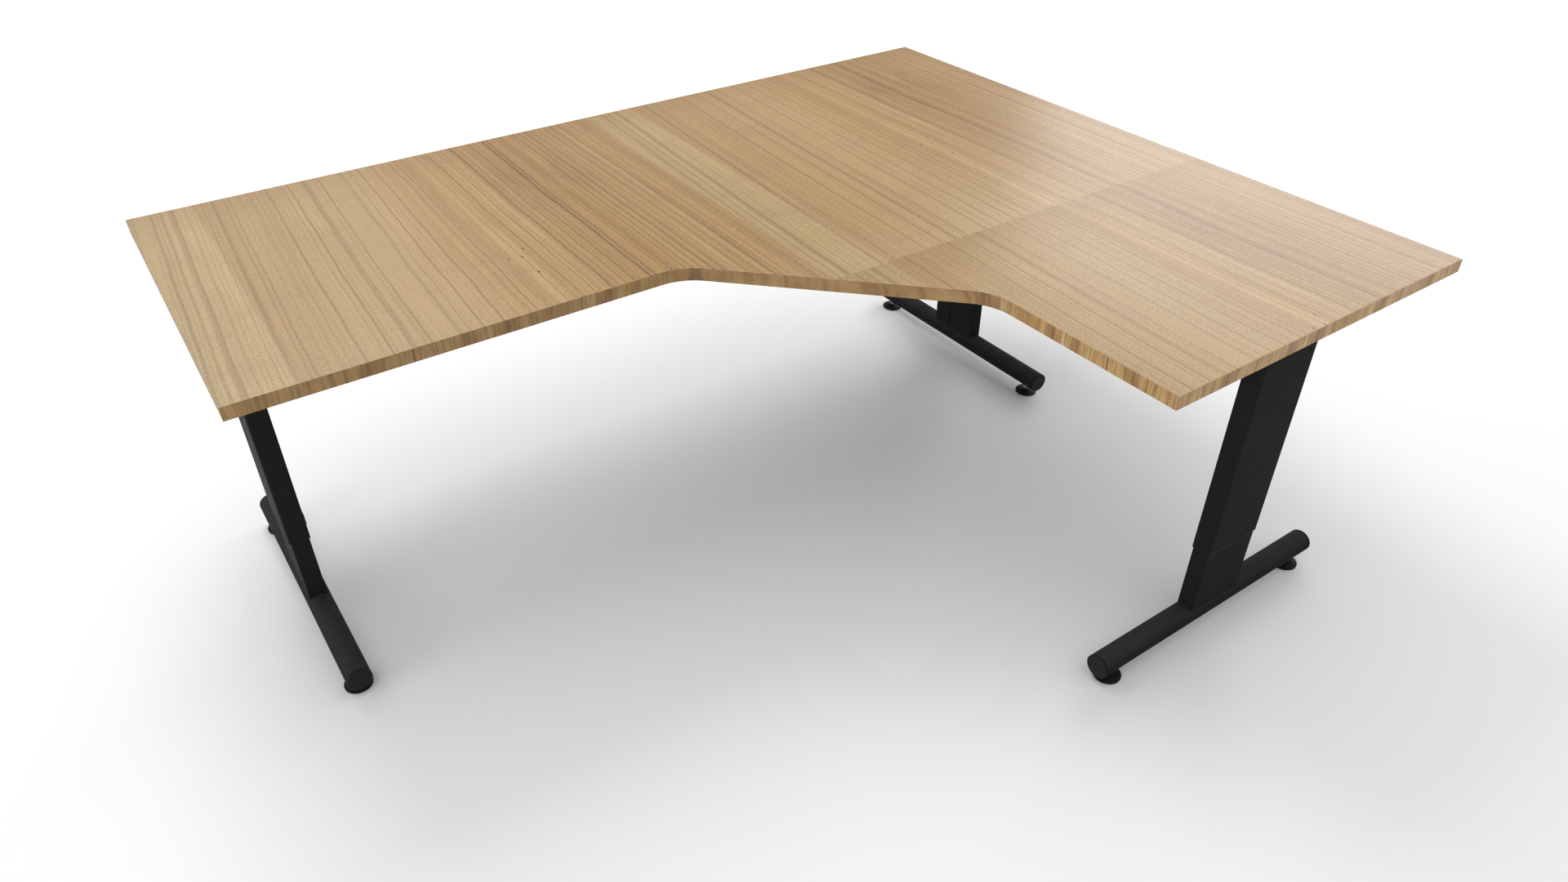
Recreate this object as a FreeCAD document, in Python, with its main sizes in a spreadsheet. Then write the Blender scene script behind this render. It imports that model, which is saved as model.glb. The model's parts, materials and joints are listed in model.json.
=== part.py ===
"""Corner desk: an L-shaped worktop on three telescopic T-legs with screw-in levelling glides.

Frame: millimetres, +Z up, origin on the floor under the centre of the worktop's bounding rectangle.
X runs along the long back edge, Y from the user's side to the back edge. Every leg piece is drawn in
a leg frame (origin on the floor under the column, foot along Y, knee side towards +X) and then placed.
"""

import FreeCAD, Part
import os

import Sketcher
from FreeCAD import Placement, Rotation, Vector

doc = FreeCAD.newDocument("corner_desk")
sheet = doc.addObject("Spreadsheet::Sheet", "sizes")

# Driving dimensions and the lengths worked out from them, in mm.
SIZES = [
    # Worktop plan and height
    ("desk_length", 2000),
    ("desk_depth", 1600),
    ("desk_height", 695),
    ("wing_depth", 800),
    ("wing_width", 800),
    ("diagonal_leg", 400),
    ("corner_radius", 100),
    ("panel_thickness", 25),
    ("band_thickness", 2),
    ("laminate_thickness", 0.8),
    # Leg positions: insets from the outer edges, and the share of a wing in front of its column
    ("left_inset", 67),
    ("right_inset", 44.5),
    ("corner_inset", 150.5),
    ("column_share", 0.4125),
    ("end_column_share", 0.430625),
    # Foot tube, caps and levelling glides
    ("foot_share", 0.8),
    ("foot_clearance", 21),
    ("foot_radius", 24),
    ("foot_wall", 2),
    ("cap_disc", 4),
    ("cap_groove", 1.5),
    ("cap_groove_depth", 3),
    ("cap_plug", 14),
    ("cap_chamfer", 1.2),
    ("glide_setback", 40),
    ("glide_radius", 27),
    ("glide_rim", 4),
    ("glide_dome", 9),
    ("dome_top_radius", 9),
    ("stud_radius", 5),
    ("stud_tip_radius", 4),
    ("stud_length", 31),
    ("socket_floor", 3),
    ("hex_flats", 14),
    ("hex_height", 4.5),
    ("insert_radius", 8),
    ("insert_length", 19),
    # Telescopic column
    ("column_width", 141),
    ("column_thickness", 35),
    ("column_wall", 2.5),
    ("column_edge", 2),
    ("groove_width", 5),
    ("groove_depth", 1.5),
    ("groove_offset", 15),
    ("guide_gap", 1),
    ("sleeve_wall", 1.5),
    ("sleeve_foot_height", 210),
    ("lowering_travel", 75),
    ("ring_flange", 2.5),
    ("ring_upstand", 15),
    ("ring_chamfer", 0.8),
    ("plug_head", 8),
    ("plug_spigot", 20),
    ("plug_bore_radius", 10),
    # Clamp plate and screws at the sleeve's lower end
    ("clamp_plate_width", 120),
    ("clamp_plate_height", 24),
    ("clamp_plate_thickness", 2),
    ("clamp_plate_rise", 23),
    ("clamp_spacing", 90),
    ("clamp_screw_radius", 4),
    ("clamp_socket_flats", 4),
    ("clamp_socket_depth", 2.5),
    # Top plates and wood screws
    ("plate_thickness", 4),
    ("plate_width", 70),
    ("plate_length", 380),
    ("wood_row_spacing", 46),
    ("wood_inner_pitch", 200),
    ("wood_outer_pitch", 340),
    ("wood_screw_radius", 2.5),
    ("wood_screw_length", 16),
    ("wood_head_radius", 4.8),
    ("wood_head_height", 3),
    # Rails and their brackets
    ("rail_width", 30),
    ("rail_height", 45),
    ("rail_wall", 2),
    ("rail_edge", 3),
    ("bracket_thickness", 4),
    ("bracket_width", 84),
    ("bracket_tongue", 40),
    ("tongue_wall", 3),
    ("bracket_screw_pitch", 60),
    ("bracket_screw_radius", 3),
    ("bracket_screw_length", 10),
    ("bracket_head_radius", 5.5),
    ("bracket_head_height", 3.5),
    ("bracket_socket_flats", 4),
    # Clearances
    ("running_clearance", 0.3),
    ("fitting_clearance", 0.1),
    # Worked out: worktop outline
    ("half_length", "=desk_length / 2"),
    ("half_depth", "=desk_depth / 2"),
    ("front_y", "=half_depth - wing_depth"),
    ("inner_x", "=half_length - wing_width"),
    ("diagonal_x", "=inner_x - diagonal_leg"),
    ("diagonal_y", "=front_y - diagonal_leg"),
    ("mitre", "=band_thickness * (sqrt(2) - 1)"),
    ("core_x", "=half_length - band_thickness"),
    ("core_y", "=half_depth - band_thickness"),
    ("core_front_y", "=front_y + band_thickness"),
    ("core_inner_x", "=inner_x + band_thickness"),
    ("core_diagonal_x", "=diagonal_x + mitre"),
    ("core_diagonal_y", "=diagonal_y + mitre"),
    ("core_corner_radius", "=corner_radius + band_thickness"),
    ("underside", "=desk_height - panel_thickness"),
    ("core_bottom", "=underside + laminate_thickness"),
    ("core_thickness", "=panel_thickness - 2 * laminate_thickness"),
    ("laminate_bottom", "=desk_height - laminate_thickness"),
    # Worked out: leg positions
    ("left_leg_x", "=-half_length + left_inset"),
    ("left_leg_y", "=front_y + column_share * wing_depth"),
    ("corner_leg_x", "=half_length - corner_inset"),
    ("corner_leg_y", "=front_y + column_share * wing_depth"),
    ("right_leg_x", "=inner_x + end_column_share * wing_width"),
    ("right_leg_y", "=-half_depth + right_inset"),
    # Worked out: foot
    ("foot_length", "=foot_share * min(wing_depth; wing_width)"),
    ("foot_axis_height", "=foot_clearance + foot_radius"),
    ("tube_length", "=foot_length - 2 * (cap_disc + cap_groove)"),
    ("foot_bore_radius", "=foot_radius - foot_wall"),
    ("cap_plug_radius", "=foot_bore_radius - fitting_clearance"),
    ("cap_neck_radius", "=foot_radius - cap_groove_depth"),
    ("half_foot", "=foot_length / 2"),
    ("glide_y", "=half_foot - glide_setback"),
    ("insert_bottom", "=foot_clearance + running_clearance"),
    ("insert_bore_radius", "=stud_radius + running_clearance"),
    ("socket_radius", "=stud_tip_radius + running_clearance"),
    ("hex_bottom", "=glide_dome + running_clearance"),
    ("stud_bottom", "=socket_floor + running_clearance"),
    # Worked out: column, guides and sleeve
    ("column_top", "=underside - plate_thickness - rail_height - lowering_travel - plug_head"),
    ("column_bore_width", "=column_width - 2 * column_wall"),
    ("column_bore_thickness", "=column_thickness - 2 * column_wall"),
    ("half_column_thickness", "=column_thickness / 2"),
    ("sleeve_bore_width", "=column_width + 2 * guide_gap"),
    ("sleeve_bore_thickness", "=column_thickness + 2 * guide_gap"),
    ("sleeve_bore_edge", "=column_edge + guide_gap"),
    ("sleeve_width", "=sleeve_bore_width + 2 * sleeve_wall"),
    ("sleeve_thickness", "=sleeve_bore_thickness + 2 * sleeve_wall"),
    ("sleeve_edge", "=sleeve_bore_edge + sleeve_wall"),
    ("half_sleeve_thickness", "=sleeve_thickness / 2"),
    ("sleeve_bottom", "=sleeve_foot_height + ring_flange"),
    ("sleeve_top", "=underside - plate_thickness"),
    ("sleeve_length", "=sleeve_top - sleeve_bottom"),
    ("ring_bore_width", "=column_width + 2 * running_clearance"),
    ("ring_bore_thickness", "=column_thickness + 2 * running_clearance"),
    ("ring_bore_edge", "=column_edge + running_clearance"),
    ("plug_width", "=sleeve_bore_width - 2 * running_clearance"),
    ("plug_thickness", "=sleeve_bore_thickness - 2 * running_clearance"),
    ("plug_edge", "=sleeve_bore_edge - running_clearance"),
    ("spigot_width", "=column_bore_width - 2 * fitting_clearance"),
    ("spigot_thickness", "=column_bore_thickness - 2 * fitting_clearance"),
    ("groove_near", "=groove_offset - groove_width / 2"),
    ("groove_far", "=groove_offset + groove_width / 2"),
    ("groove_floor", "=half_column_thickness - groove_depth"),
    ("key_near", "=groove_near + running_clearance"),
    ("key_far", "=groove_far - running_clearance"),
    ("key_root", "=half_column_thickness + (guide_gap + running_clearance) / 2"),
    ("key_tip", "=groove_floor + running_clearance"),
    # Worked out: clamp and bracket screws
    ("clamp_height", "=sleeve_bottom + clamp_plate_rise + clamp_plate_height / 2"),
    ("clamp_plate_side", "=clamp_plate_width / 2"),
    ("clamp_plate_low", "=clamp_height - clamp_plate_height / 2"),
    ("clamp_plate_high", "=clamp_height + clamp_plate_height / 2"),
    ("clamp_face", "=half_sleeve_thickness + clamp_plate_thickness"),
    ("clamp_tip", "=half_column_thickness + running_clearance"),
    ("clamp_hole_radius", "=clamp_screw_radius + running_clearance"),
    ("wood_hole_radius", "=wood_screw_radius + running_clearance"),
    ("rail_top", "=sleeve_top"),
    ("rail_centre_z", "=rail_top - rail_height / 2"),
    ("tongue_width", "=rail_width - 2 * rail_wall - 2 * fitting_clearance"),
    ("tongue_height", "=rail_height - 2 * rail_wall - 2 * fitting_clearance"),
    ("tongue_bore_width", "=tongue_width - 2 * tongue_wall"),
    ("tongue_bore_height", "=tongue_height - 2 * tongue_wall"),
    ("bracket_hole_radius", "=bracket_screw_radius + running_clearance"),
    ("knee_face_left", "=left_leg_x + half_sleeve_thickness"),
    ("knee_face_corner", "=corner_leg_x - half_sleeve_thickness"),
    ("knee_face_right", "=right_leg_y + half_sleeve_thickness"),
    ("rail_bore_width", "=rail_width - 2 * rail_wall"),
    ("rail_bore_height", "=rail_height - 2 * rail_wall"),
    ("long_rail_start", "=knee_face_left + bracket_thickness"),
    ("short_rail_start", "=knee_face_right + bracket_thickness"),
    ("long_rail_length", "=knee_face_corner - knee_face_left - 2 * bracket_thickness"),
    ("tee_along_rail", "=right_leg_x - long_rail_start"),
    ("tee_face", "=left_leg_y - rail_width / 2"),
    ("short_rail_length", "=tee_face - knee_face_right - 2 * bracket_thickness"),
]

UP = Vector(0, 0, 1)


class Leg:
    """Where a leg stands: its plan position, the turn that points its knee side inwards, its foot's ends."""

    def __init__(self, name, turn, near_end, far_end):
        self.name = name
        self.x = f"{name}_leg_x"
        self.y = f"{name}_leg_y"
        self.turn = turn
        self.ends = [(near_end, -1), (far_end, 1)]

    def placement(self):
        return Placement(Vector(size(self.x), size(self.y), 0), Rotation(UP, self.turn))


LEGS = [
    Leg("left", 0, "front", "back"),
    Leg("right", 90, "outer", "inner"),
    Leg("corner", 180, "back", "front"),
]


def fill_sheet():
    for row, (name, value) in enumerate(SIZES, start=1):
        cell = f"A{row}"
        sheet.set(cell, str(value))
        sheet.setAlias(cell, name)
    doc.recompute()


def size(name):
    return float(getattr(sheet, name))


# ---------------------------------------------------------------- sketch and body helpers


def new_body(name):
    body = doc.addObject("PartDesign::Body", name)
    body.Label = name
    return body


def new_sketch(body, name, role, height=None):
    """Sketch on one of the body's origin planes, raised along the plane's normal by a named size."""
    sketch = body.newObject("Sketcher::SketchObject", name)
    plane = next(item for item in body.Origin.OriginFeatures if item.Role == role)
    sketch.AttachmentSupport = [(plane, "")]
    sketch.MapMode = "FlatFace"
    if height:
        sketch.AttachmentOffset = Placement(Vector(0, 0, size(height)), Rotation())
        sketch.setExpression("AttachmentOffset.Base.z", f"sizes.{height}")
    return sketch


def drive(sketch, constraint, formula):
    """Add a dimension and bind it to a formula of named sizes."""
    index = sketch.addConstraint(constraint)
    sketch.setExpression(f"Constraints[{index}]", formula)


def number(term):
    """Value of a signed size name, such as "-core_x", or of a plain number."""
    if isinstance(term, str):
        return -size(term[1:]) if term.startswith("-") else size(term)
    return float(term)


def formula(term):
    if isinstance(term, str):
        return f"-sizes.{term[1:]}" if term.startswith("-") else f"sizes.{term}"
    return str(term)


def fix_point(sketch, geometry, point, x, y):
    """Hold a sketch point at named coordinates from the sketch's origin."""
    for kind, term in (("DistanceX", x), ("DistanceY", y)):
        if term == 0:
            axis = -2 if kind == "DistanceX" else -1
            sketch.addConstraint(Sketcher.Constraint("PointOnObject", geometry, point, axis))
        else:
            constraint = Sketcher.Constraint(kind, -1, 1, geometry, point, number(term))
            drive(sketch, constraint, formula(term))


def polygon(sketch, corners):
    """Closed polygon through named corners."""
    points = [Vector(number(x), number(y), 0) for x, y in corners]
    first = sketch.GeometryCount
    for index, point in enumerate(points):
        sketch.addGeometry(Part.LineSegment(point, points[(index + 1) % len(points)]))
    for index, (x, y) in enumerate(corners):
        line = first + index
        following = first + (index + 1) % len(points)
        sketch.addConstraint(Sketcher.Constraint("Coincident", line, 2, following, 1))
        fix_point(sketch, line, 1, x, y)


def box_between(sketch, left, right, low, high):
    """Upright rectangle between four named coordinates."""
    polygon(sketch, [(left, low), (right, low), (right, high), (left, high)])


def circle(sketch, radius, x=0, y=0):
    index = sketch.addGeometry(Part.Circle(Vector(number(x), number(y), 0), UP, size(radius)))
    drive(sketch, Sketcher.Constraint("Radius", index, size(radius)), f"sizes.{radius}")
    if x == 0 and y == 0:
        sketch.addConstraint(Sketcher.Constraint("Coincident", index, 3, -1, 1))
    else:
        fix_point(sketch, index, 3, x, y)


def rounded_rectangle(sketch, width, height, radius):
    """Rectangle about the sketch's origin with one radius at all four corners."""
    w = size(width) / 2
    h = size(height) / 2
    r = size(radius)
    first = sketch.GeometryCount
    quarter = [(1, 1, 0), (-1, 1, 90), (-1, -1, 180), (1, -1, 270)]
    for sx, sy, start in quarter:
        centre = Part.Circle(Vector(sx * (w - r), sy * (h - r), 0), UP, r)
        begin = FreeCAD.Units.Quantity(f"{start} deg").getValueAs("rad").Value
        end = FreeCAD.Units.Quantity(f"{start + 90} deg").getValueAs("rad").Value
        sketch.addGeometry(Part.ArcOfCircle(centre, begin, end))
    for index in range(4):
        start = sketch.getPoint(first + index, 2)
        end = sketch.getPoint(first + (index + 1) % 4, 1)
        sketch.addGeometry(Part.LineSegment(start, end))
    for index in range(4):
        line = first + 4 + index
        sketch.addConstraint(Sketcher.Constraint("Tangent", first + index, 2, line, 1))
        sketch.addConstraint(Sketcher.Constraint("Tangent", line, 2, first + (index + 1) % 4, 1))
        direction = "Horizontal" if index % 2 == 0 else "Vertical"
        sketch.addConstraint(Sketcher.Constraint(direction, line))
    for index in range(1, 4):
        sketch.addConstraint(Sketcher.Constraint("Equal", first, first + index))
    sketch.addConstraint(Sketcher.Constraint("Symmetric", first, 3, first + 2, 3, -1, 1))
    drive(sketch, Sketcher.Constraint("Radius", first, r), f"sizes.{radius}")
    across = Sketcher.Constraint("DistanceX", first + 5, 1, first + 7, 1, 2 * w)
    drive(sketch, across, f"sizes.{width}")
    along = Sketcher.Constraint("DistanceY", first + 6, 1, first + 4, 1, 2 * h)
    drive(sketch, along, f"sizes.{height}")


def extrude(body, sketch, name, length, both_ways=False, back=False, cut=False):
    kind = "PartDesign::Pocket" if cut else "PartDesign::Pad"
    feature = body.newObject(kind, name)
    feature.Profile = sketch
    feature.setExpression("Length", length)
    feature.Reversed = back
    if both_ways:
        feature.SideType = "Symmetric"
    return feature


def edges_near(shape, places):
    """Names of the upright edges that stand at the given plan points."""
    names = []
    for index, edge in enumerate(shape.Edges, start=1):
        ends = [vertex.Point for vertex in edge.Vertexes]
        upright = len(ends) == 2 and abs(abs((ends[0] - ends[1]).normalize().z) - 1) < 1e-6
        if upright and any(abs(ends[0].x - x) + abs(ends[0].y - y) < 1e-3 for x, y in places):
            names.append(f"Edge{index}")
    return names


def outline_edges(shape, level):
    """Names of the edges around the outside of the flat face at one height."""
    faces = [face for face in shape.Faces if face.BoundBox.ZMax - level < 1e-6]
    outline = faces[0].OuterWire.Edges
    numbered = enumerate(shape.Edges, start=1)
    return [f"Edge{index}" for index, edge in numbered if any(edge.isSame(item) for item in outline)]


def round_edges(body, base, name, places, radius):
    doc.recompute()
    fillet = body.newObject("PartDesign::Fillet", name)
    fillet.Base = (base, edges_near(base.Shape, places))
    fillet.setExpression("Radius", f"sizes.{radius}")
    return fillet


def place_on_leg(piece, leg):
    piece.Placement = leg.placement()
    piece.setExpression("Placement.Base.x", f"sizes.{leg.x}")
    piece.setExpression("Placement.Base.y", f"sizes.{leg.y}")


def place_at(piece, x, y, z, turn=0):
    piece.Placement = Placement(Vector(number(x), number(y), number(z)), Rotation(UP, turn))
    for axis, term in (("x", x), ("y", y), ("z", z)):
        piece.setExpression(f"Placement.Base.{axis}", formula(term))


def solid_group(name, solids):
    """One node that holds several separate, identical solids."""
    group = doc.addObject("Part::Feature", name)
    group.Label = name
    group.Shape = Part.makeCompound(solids)
    return group


# ---------------------------------------------------------------- worktop

CORE_CORNERS = [
    ("core_x", "core_y"),
    ("-core_x", "core_y"),
    ("-core_x", "core_front_y"),
    ("core_diagonal_x", "core_front_y"),
    ("core_inner_x", "core_diagonal_y"),
    ("core_inner_x", "-core_y"),
    ("core_x", "-core_y"),
]


def plate_screw_points():
    """Screw positions in the leg frame: two rows of four, clear of the sleeve."""
    x = size("wood_row_spacing") / 2
    ys = [size("wood_inner_pitch") / 2, size("wood_outer_pitch") / 2]
    return [(sx * x, sy * y) for sx in (-1, 1) for y in ys for sy in (-1, 1)]


def pilot_holes(body, level):
    """Pilot holes for the wood screws of all three legs, from one level up to the screw tips."""
    sketch = new_sketch(body, f"{body.Name}_pilot_sketch", "XY_Plane", level)
    radius = size("wood_screw_radius")
    for leg in LEGS:
        for x, y in plate_screw_points():
            centre = leg.placement().multVec(Vector(x, y, 0))
            index = sketch.addGeometry(Part.Circle(centre, UP, radius))
            sketch.addConstraint(Sketcher.Constraint("Block", index))
    return sketch


def worktop_layer(name, level, thickness):
    """Sheet in the plan of the panel inside its edge bands."""
    body = new_body(name)
    sketch = new_sketch(body, f"{name}_sketch", "XY_Plane", level)
    polygon(sketch, CORE_CORNERS)
    pad = extrude(body, sketch, f"{name}_pad", f"sizes.{thickness}")
    bends = [
        (size("core_diagonal_x"), size("core_front_y")),
        (size("core_inner_x"), size("core_diagonal_y")),
    ]
    round_edges(body, pad, f"{name}_bends", bends, "core_corner_radius")
    return body


def drilled_layer(name, level, thickness, depth):
    body = worktop_layer(name, level, thickness)
    sketch = pilot_holes(body, level)
    extrude(body, sketch, f"{name}_pilots", depth, back=True, cut=True)
    return body


def straight_band(name, corners):
    body = new_body(name)
    sketch = new_sketch(body, f"{name}_sketch", "XY_Plane", "underside")
    polygon(sketch, corners)
    extrude(body, sketch, f"{name}_pad", "sizes.panel_thickness")
    return body


def front_band():
    """Band along the user's side: left wing, diagonal and right wing in one run with two bends."""
    outside = [
        ("-half_length", "front_y"),
        ("diagonal_x", "front_y"),
        ("inner_x", "diagonal_y"),
        ("inner_x", "-core_y"),
    ]
    inside = [
        ("core_inner_x", "-core_y"),
        ("core_inner_x", "core_diagonal_y"),
        ("core_diagonal_x", "core_front_y"),
        ("-half_length", "core_front_y"),
    ]
    body = new_body("edge_band_front")
    sketch = new_sketch(body, "edge_band_front_sketch", "XY_Plane", "underside")
    polygon(sketch, outside + inside)
    pad = extrude(body, sketch, "edge_band_front_pad", "sizes.panel_thickness")
    void_bends = [(number(x), number(y)) for x, y in outside[1:3]]
    core_bends = [(number(x), number(y)) for x, y in inside[1:3]]
    bent = round_edges(body, pad, "edge_band_front_void_bends", void_bends, "corner_radius")
    round_edges(body, bent, "edge_band_front_core_bends", core_bends, "core_corner_radius")
    return body


def edge_bands():
    front_band()
    straight_band(
        "edge_band_back",
        [
            ("half_length", "half_depth"),
            ("-half_length", "half_depth"),
            ("-half_length", "core_y"),
            ("half_length", "core_y"),
        ],
    )
    straight_band(
        "edge_band_left",
        [
            ("-half_length", "core_y"),
            ("-half_length", "core_front_y"),
            ("-core_x", "core_front_y"),
            ("-core_x", "core_y"),
        ],
    )
    straight_band(
        "edge_band_right",
        [
            ("half_length", "core_y"),
            ("core_x", "core_y"),
            ("core_x", "-core_y"),
            ("half_length", "-core_y"),
        ],
    )
    straight_band(
        "edge_band_end",
        [
            ("inner_x", "-core_y"),
            ("inner_x", "-half_depth"),
            ("half_length", "-half_depth"),
            ("half_length", "-core_y"),
        ],
    )


def worktop():
    drilled_layer("worktop_backer", "underside", "laminate_thickness", "sizes.laminate_thickness")
    core_pilot = "sizes.wood_screw_length - sizes.plate_thickness - sizes.laminate_thickness"
    drilled_layer("worktop_core", "core_bottom", "core_thickness", core_pilot)
    worktop_layer("worktop_laminate", "laminate_bottom", "laminate_thickness")
    edge_bands()


# ---------------------------------------------------------------- foot


def foot_tube(leg):
    """Round tube along the foot, with a hole in its underside for each glide insert."""
    name = f"foot_tube_{leg.name}"
    body = new_body(name)
    section = new_sketch(body, f"{name}_section", "XZ_Plane")
    circle(section, "foot_radius", 0, "foot_axis_height")
    circle(section, "foot_bore_radius", 0, "foot_axis_height")
    extrude(body, section, f"{name}_pad", "sizes.tube_length", both_ways=True)
    holes = new_sketch(body, f"{name}_holes", "XY_Plane")
    circle(holes, "insert_radius", 0, "glide_y")
    circle(holes, "insert_radius", 0, "-glide_y")
    extrude(body, holes, f"{name}_pocket", "sizes.foot_axis_height", back=True, cut=True)
    place_on_leg(body, leg)


def revolved(profile, base, axis):
    """Solid of revolution of a closed radius-height profile about an axis through the base point."""
    across = Vector(1, 0, 0) if abs(axis.x) < 0.5 else Vector(0, 0, 1)
    points = [base + across * r + axis * h for r, h in profile]
    face = Part.Face(Part.makePolygon(points + points[:1]))
    return face.revolve(base, axis, 360)


def foot_caps(leg):
    """Two round end plugs: chamfered disc, recessed neck, and a plug inside the tube."""
    disc = size("cap_disc")
    neck_end = disc + size("cap_groove")
    rim = size("foot_radius")
    chamfer = size("cap_chamfer")
    neck = size("cap_neck_radius")
    plug = size("cap_plug_radius")
    plug_end = neck_end + size("cap_plug")
    profile = [
        (0, 0),
        (rim - chamfer, 0),
        (rim, chamfer),
        (rim, disc),
        (neck, disc),
        (neck, neck_end),
        (plug, neck_end),
        (plug, plug_end - chamfer),
        (plug - chamfer, plug_end),
        (0, plug_end),
    ]
    caps = []
    for _, side in leg.ends:
        face_centre = Vector(0, side * size("half_foot"), size("foot_axis_height"))
        caps.append(revolved(profile, face_centre, Vector(0, -side, 0)))
    place_on_leg(solid_group(f"foot_caps_{leg.name}", caps), leg)


def glide_inserts(leg):
    """Two threaded bosses welded into the underside of the foot tube."""
    inserts = []
    for _, side in leg.ends:
        base = Vector(0, side * size("glide_y"), size("insert_bottom"))
        boss = Part.makeCylinder(size("insert_radius"), size("insert_length"), base)
        bore = Part.makeCylinder(size("insert_bore_radius"), size("insert_length"), base)
        inserts.append(boss.cut(bore))
    place_on_leg(solid_group(f"glide_inserts_{leg.name}", inserts), leg)


def glide_pad(leg, end, side):
    """Round floor pad: low rim, shallow dome and a blind socket for the stud's tip."""
    name = f"glide_pad_{leg.name}_{end}"
    body = new_body(name)
    profile = new_sketch(body, f"{name}_profile", "XZ_Plane")
    polygon(
        profile,
        [
            (0, 0),
            ("glide_radius", 0),
            ("glide_radius", "glide_rim"),
            ("dome_top_radius", "glide_dome"),
            ("socket_radius", "glide_dome"),
            ("socket_radius", "socket_floor"),
            (0, "socket_floor"),
        ],
    )
    turn = body.newObject("PartDesign::Revolution", f"{name}_turn")
    turn.Profile = profile
    turn.ReferenceAxis = (profile, ["V_Axis"])
    turn.Angle = 360
    place_glide(body, leg, side)


def glide_stud(leg, end, side):
    """Levelling screw: tip in the pad's socket, spanner flats above the dome, shank in the insert."""
    name = f"glide_stud_{leg.name}_{end}"
    body = new_body(name)
    shank = new_sketch(body, f"{name}_shank_sketch", "XY_Plane", "hex_bottom")
    circle(shank, "stud_radius")
    extrude(body, shank, f"{name}_shank", "sizes.stud_length")
    flats = new_sketch(body, f"{name}_flats_sketch", "XY_Plane", "hex_bottom")
    hexagon(flats, "hex_flats")
    extrude(body, flats, f"{name}_flats", "sizes.hex_height")
    tip = new_sketch(body, f"{name}_tip_sketch", "XY_Plane", "hex_bottom")
    circle(tip, "stud_tip_radius")
    extrude(body, tip, f"{name}_tip", "sizes.hex_bottom - sizes.stud_bottom", back=True)
    place_glide(body, leg, side)


def hexagon(sketch, flats):
    """Regular hexagon about the origin, given by the distance across its flats."""
    half = size(flats) / 2
    corner = Vector(0, half / Rotation(UP, 30).multVec(Vector(1, 0, 0)).x, 0)
    points = [Rotation(UP, 60 * index).multVec(corner) for index in range(6)]
    first = sketch.GeometryCount
    for index, point in enumerate(points):
        sketch.addGeometry(Part.LineSegment(point, points[(index + 1) % 6]))
    guide = sketch.addGeometry(Part.Circle(Vector(0, 0, 0), UP, corner.Length), True)
    sketch.addConstraint(Sketcher.Constraint("Coincident", guide, 3, -1, 1))
    for index in range(6):
        following = first + (index + 1) % 6
        sketch.addConstraint(Sketcher.Constraint("Coincident", first + index, 2, following, 1))
        sketch.addConstraint(Sketcher.Constraint("PointOnObject", first + index, 1, guide))
    for index in range(1, 6):
        sketch.addConstraint(Sketcher.Constraint("Equal", first, first + index))
    sketch.addConstraint(Sketcher.Constraint("PointOnObject", first, 1, -2))
    radius = Sketcher.Constraint("Radius", guide, corner.Length)
    drive(sketch, radius, f"sizes.{flats} / 2 / cos(30 deg)")


def place_glide(piece, leg, side):
    offset = leg.placement().multVec(Vector(0, side * size("glide_y"), 0))
    piece.Placement = Placement(offset, Rotation(UP, leg.turn))


# ---------------------------------------------------------------- telescopic column


def column(leg):
    """Fixed lower column: rectangular tube coped onto the foot, grooved on its knee side."""
    name = f"column_{leg.name}"
    height = "sizes.column_top - sizes.foot_axis_height"
    body = new_body(name)
    outside = new_sketch(body, f"{name}_outside", "XY_Plane", "foot_axis_height")
    rounded_rectangle(outside, "column_thickness", "column_width", "column_edge")
    extrude(body, outside, f"{name}_pad", height)
    inside = new_sketch(body, f"{name}_inside", "XY_Plane", "foot_axis_height")
    centred_rectangle(inside, "column_bore_thickness", "column_bore_width")
    extrude(body, inside, f"{name}_bore", height, back=True, cut=True)
    saddle = new_sketch(body, f"{name}_saddle", "XZ_Plane")
    circle(saddle, "foot_radius", 0, "foot_axis_height")
    extrude(body, saddle, f"{name}_cope", "sizes.column_width * 2", both_ways=True, cut=True)
    groove = new_sketch(body, f"{name}_groove_sketch", "XY_Plane", "foot_axis_height")
    box_between(groove, "groove_floor", "half_column_thickness", "-groove_far", "-groove_near")
    extrude(body, groove, f"{name}_groove", height, back=True, cut=True)
    place_on_leg(body, leg)


def centred_rectangle(sketch, width, height):
    w = size(width) / 2
    h = size(height) / 2
    corners = [Vector(w, h, 0), Vector(-w, h, 0), Vector(-w, -h, 0), Vector(w, -h, 0)]
    first = sketch.GeometryCount
    for index, corner in enumerate(corners):
        sketch.addGeometry(Part.LineSegment(corner, corners[(index + 1) % 4]))
    for index in range(4):
        line = first + index
        following = first + (index + 1) % 4
        sketch.addConstraint(Sketcher.Constraint("Coincident", line, 2, following, 1))
        direction = "Horizontal" if index % 2 == 0 else "Vertical"
        sketch.addConstraint(Sketcher.Constraint(direction, line))
    sketch.addConstraint(Sketcher.Constraint("Symmetric", first, 1, first + 2, 1, -1, 1))
    across = Sketcher.Constraint("DistanceX", first, 2, first, 1, 2 * w)
    drive(sketch, across, f"sizes.{width}")
    along = Sketcher.Constraint("DistanceY", first + 1, 2, first + 1, 1, 2 * h)
    drive(sketch, along, f"sizes.{height}")


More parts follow.
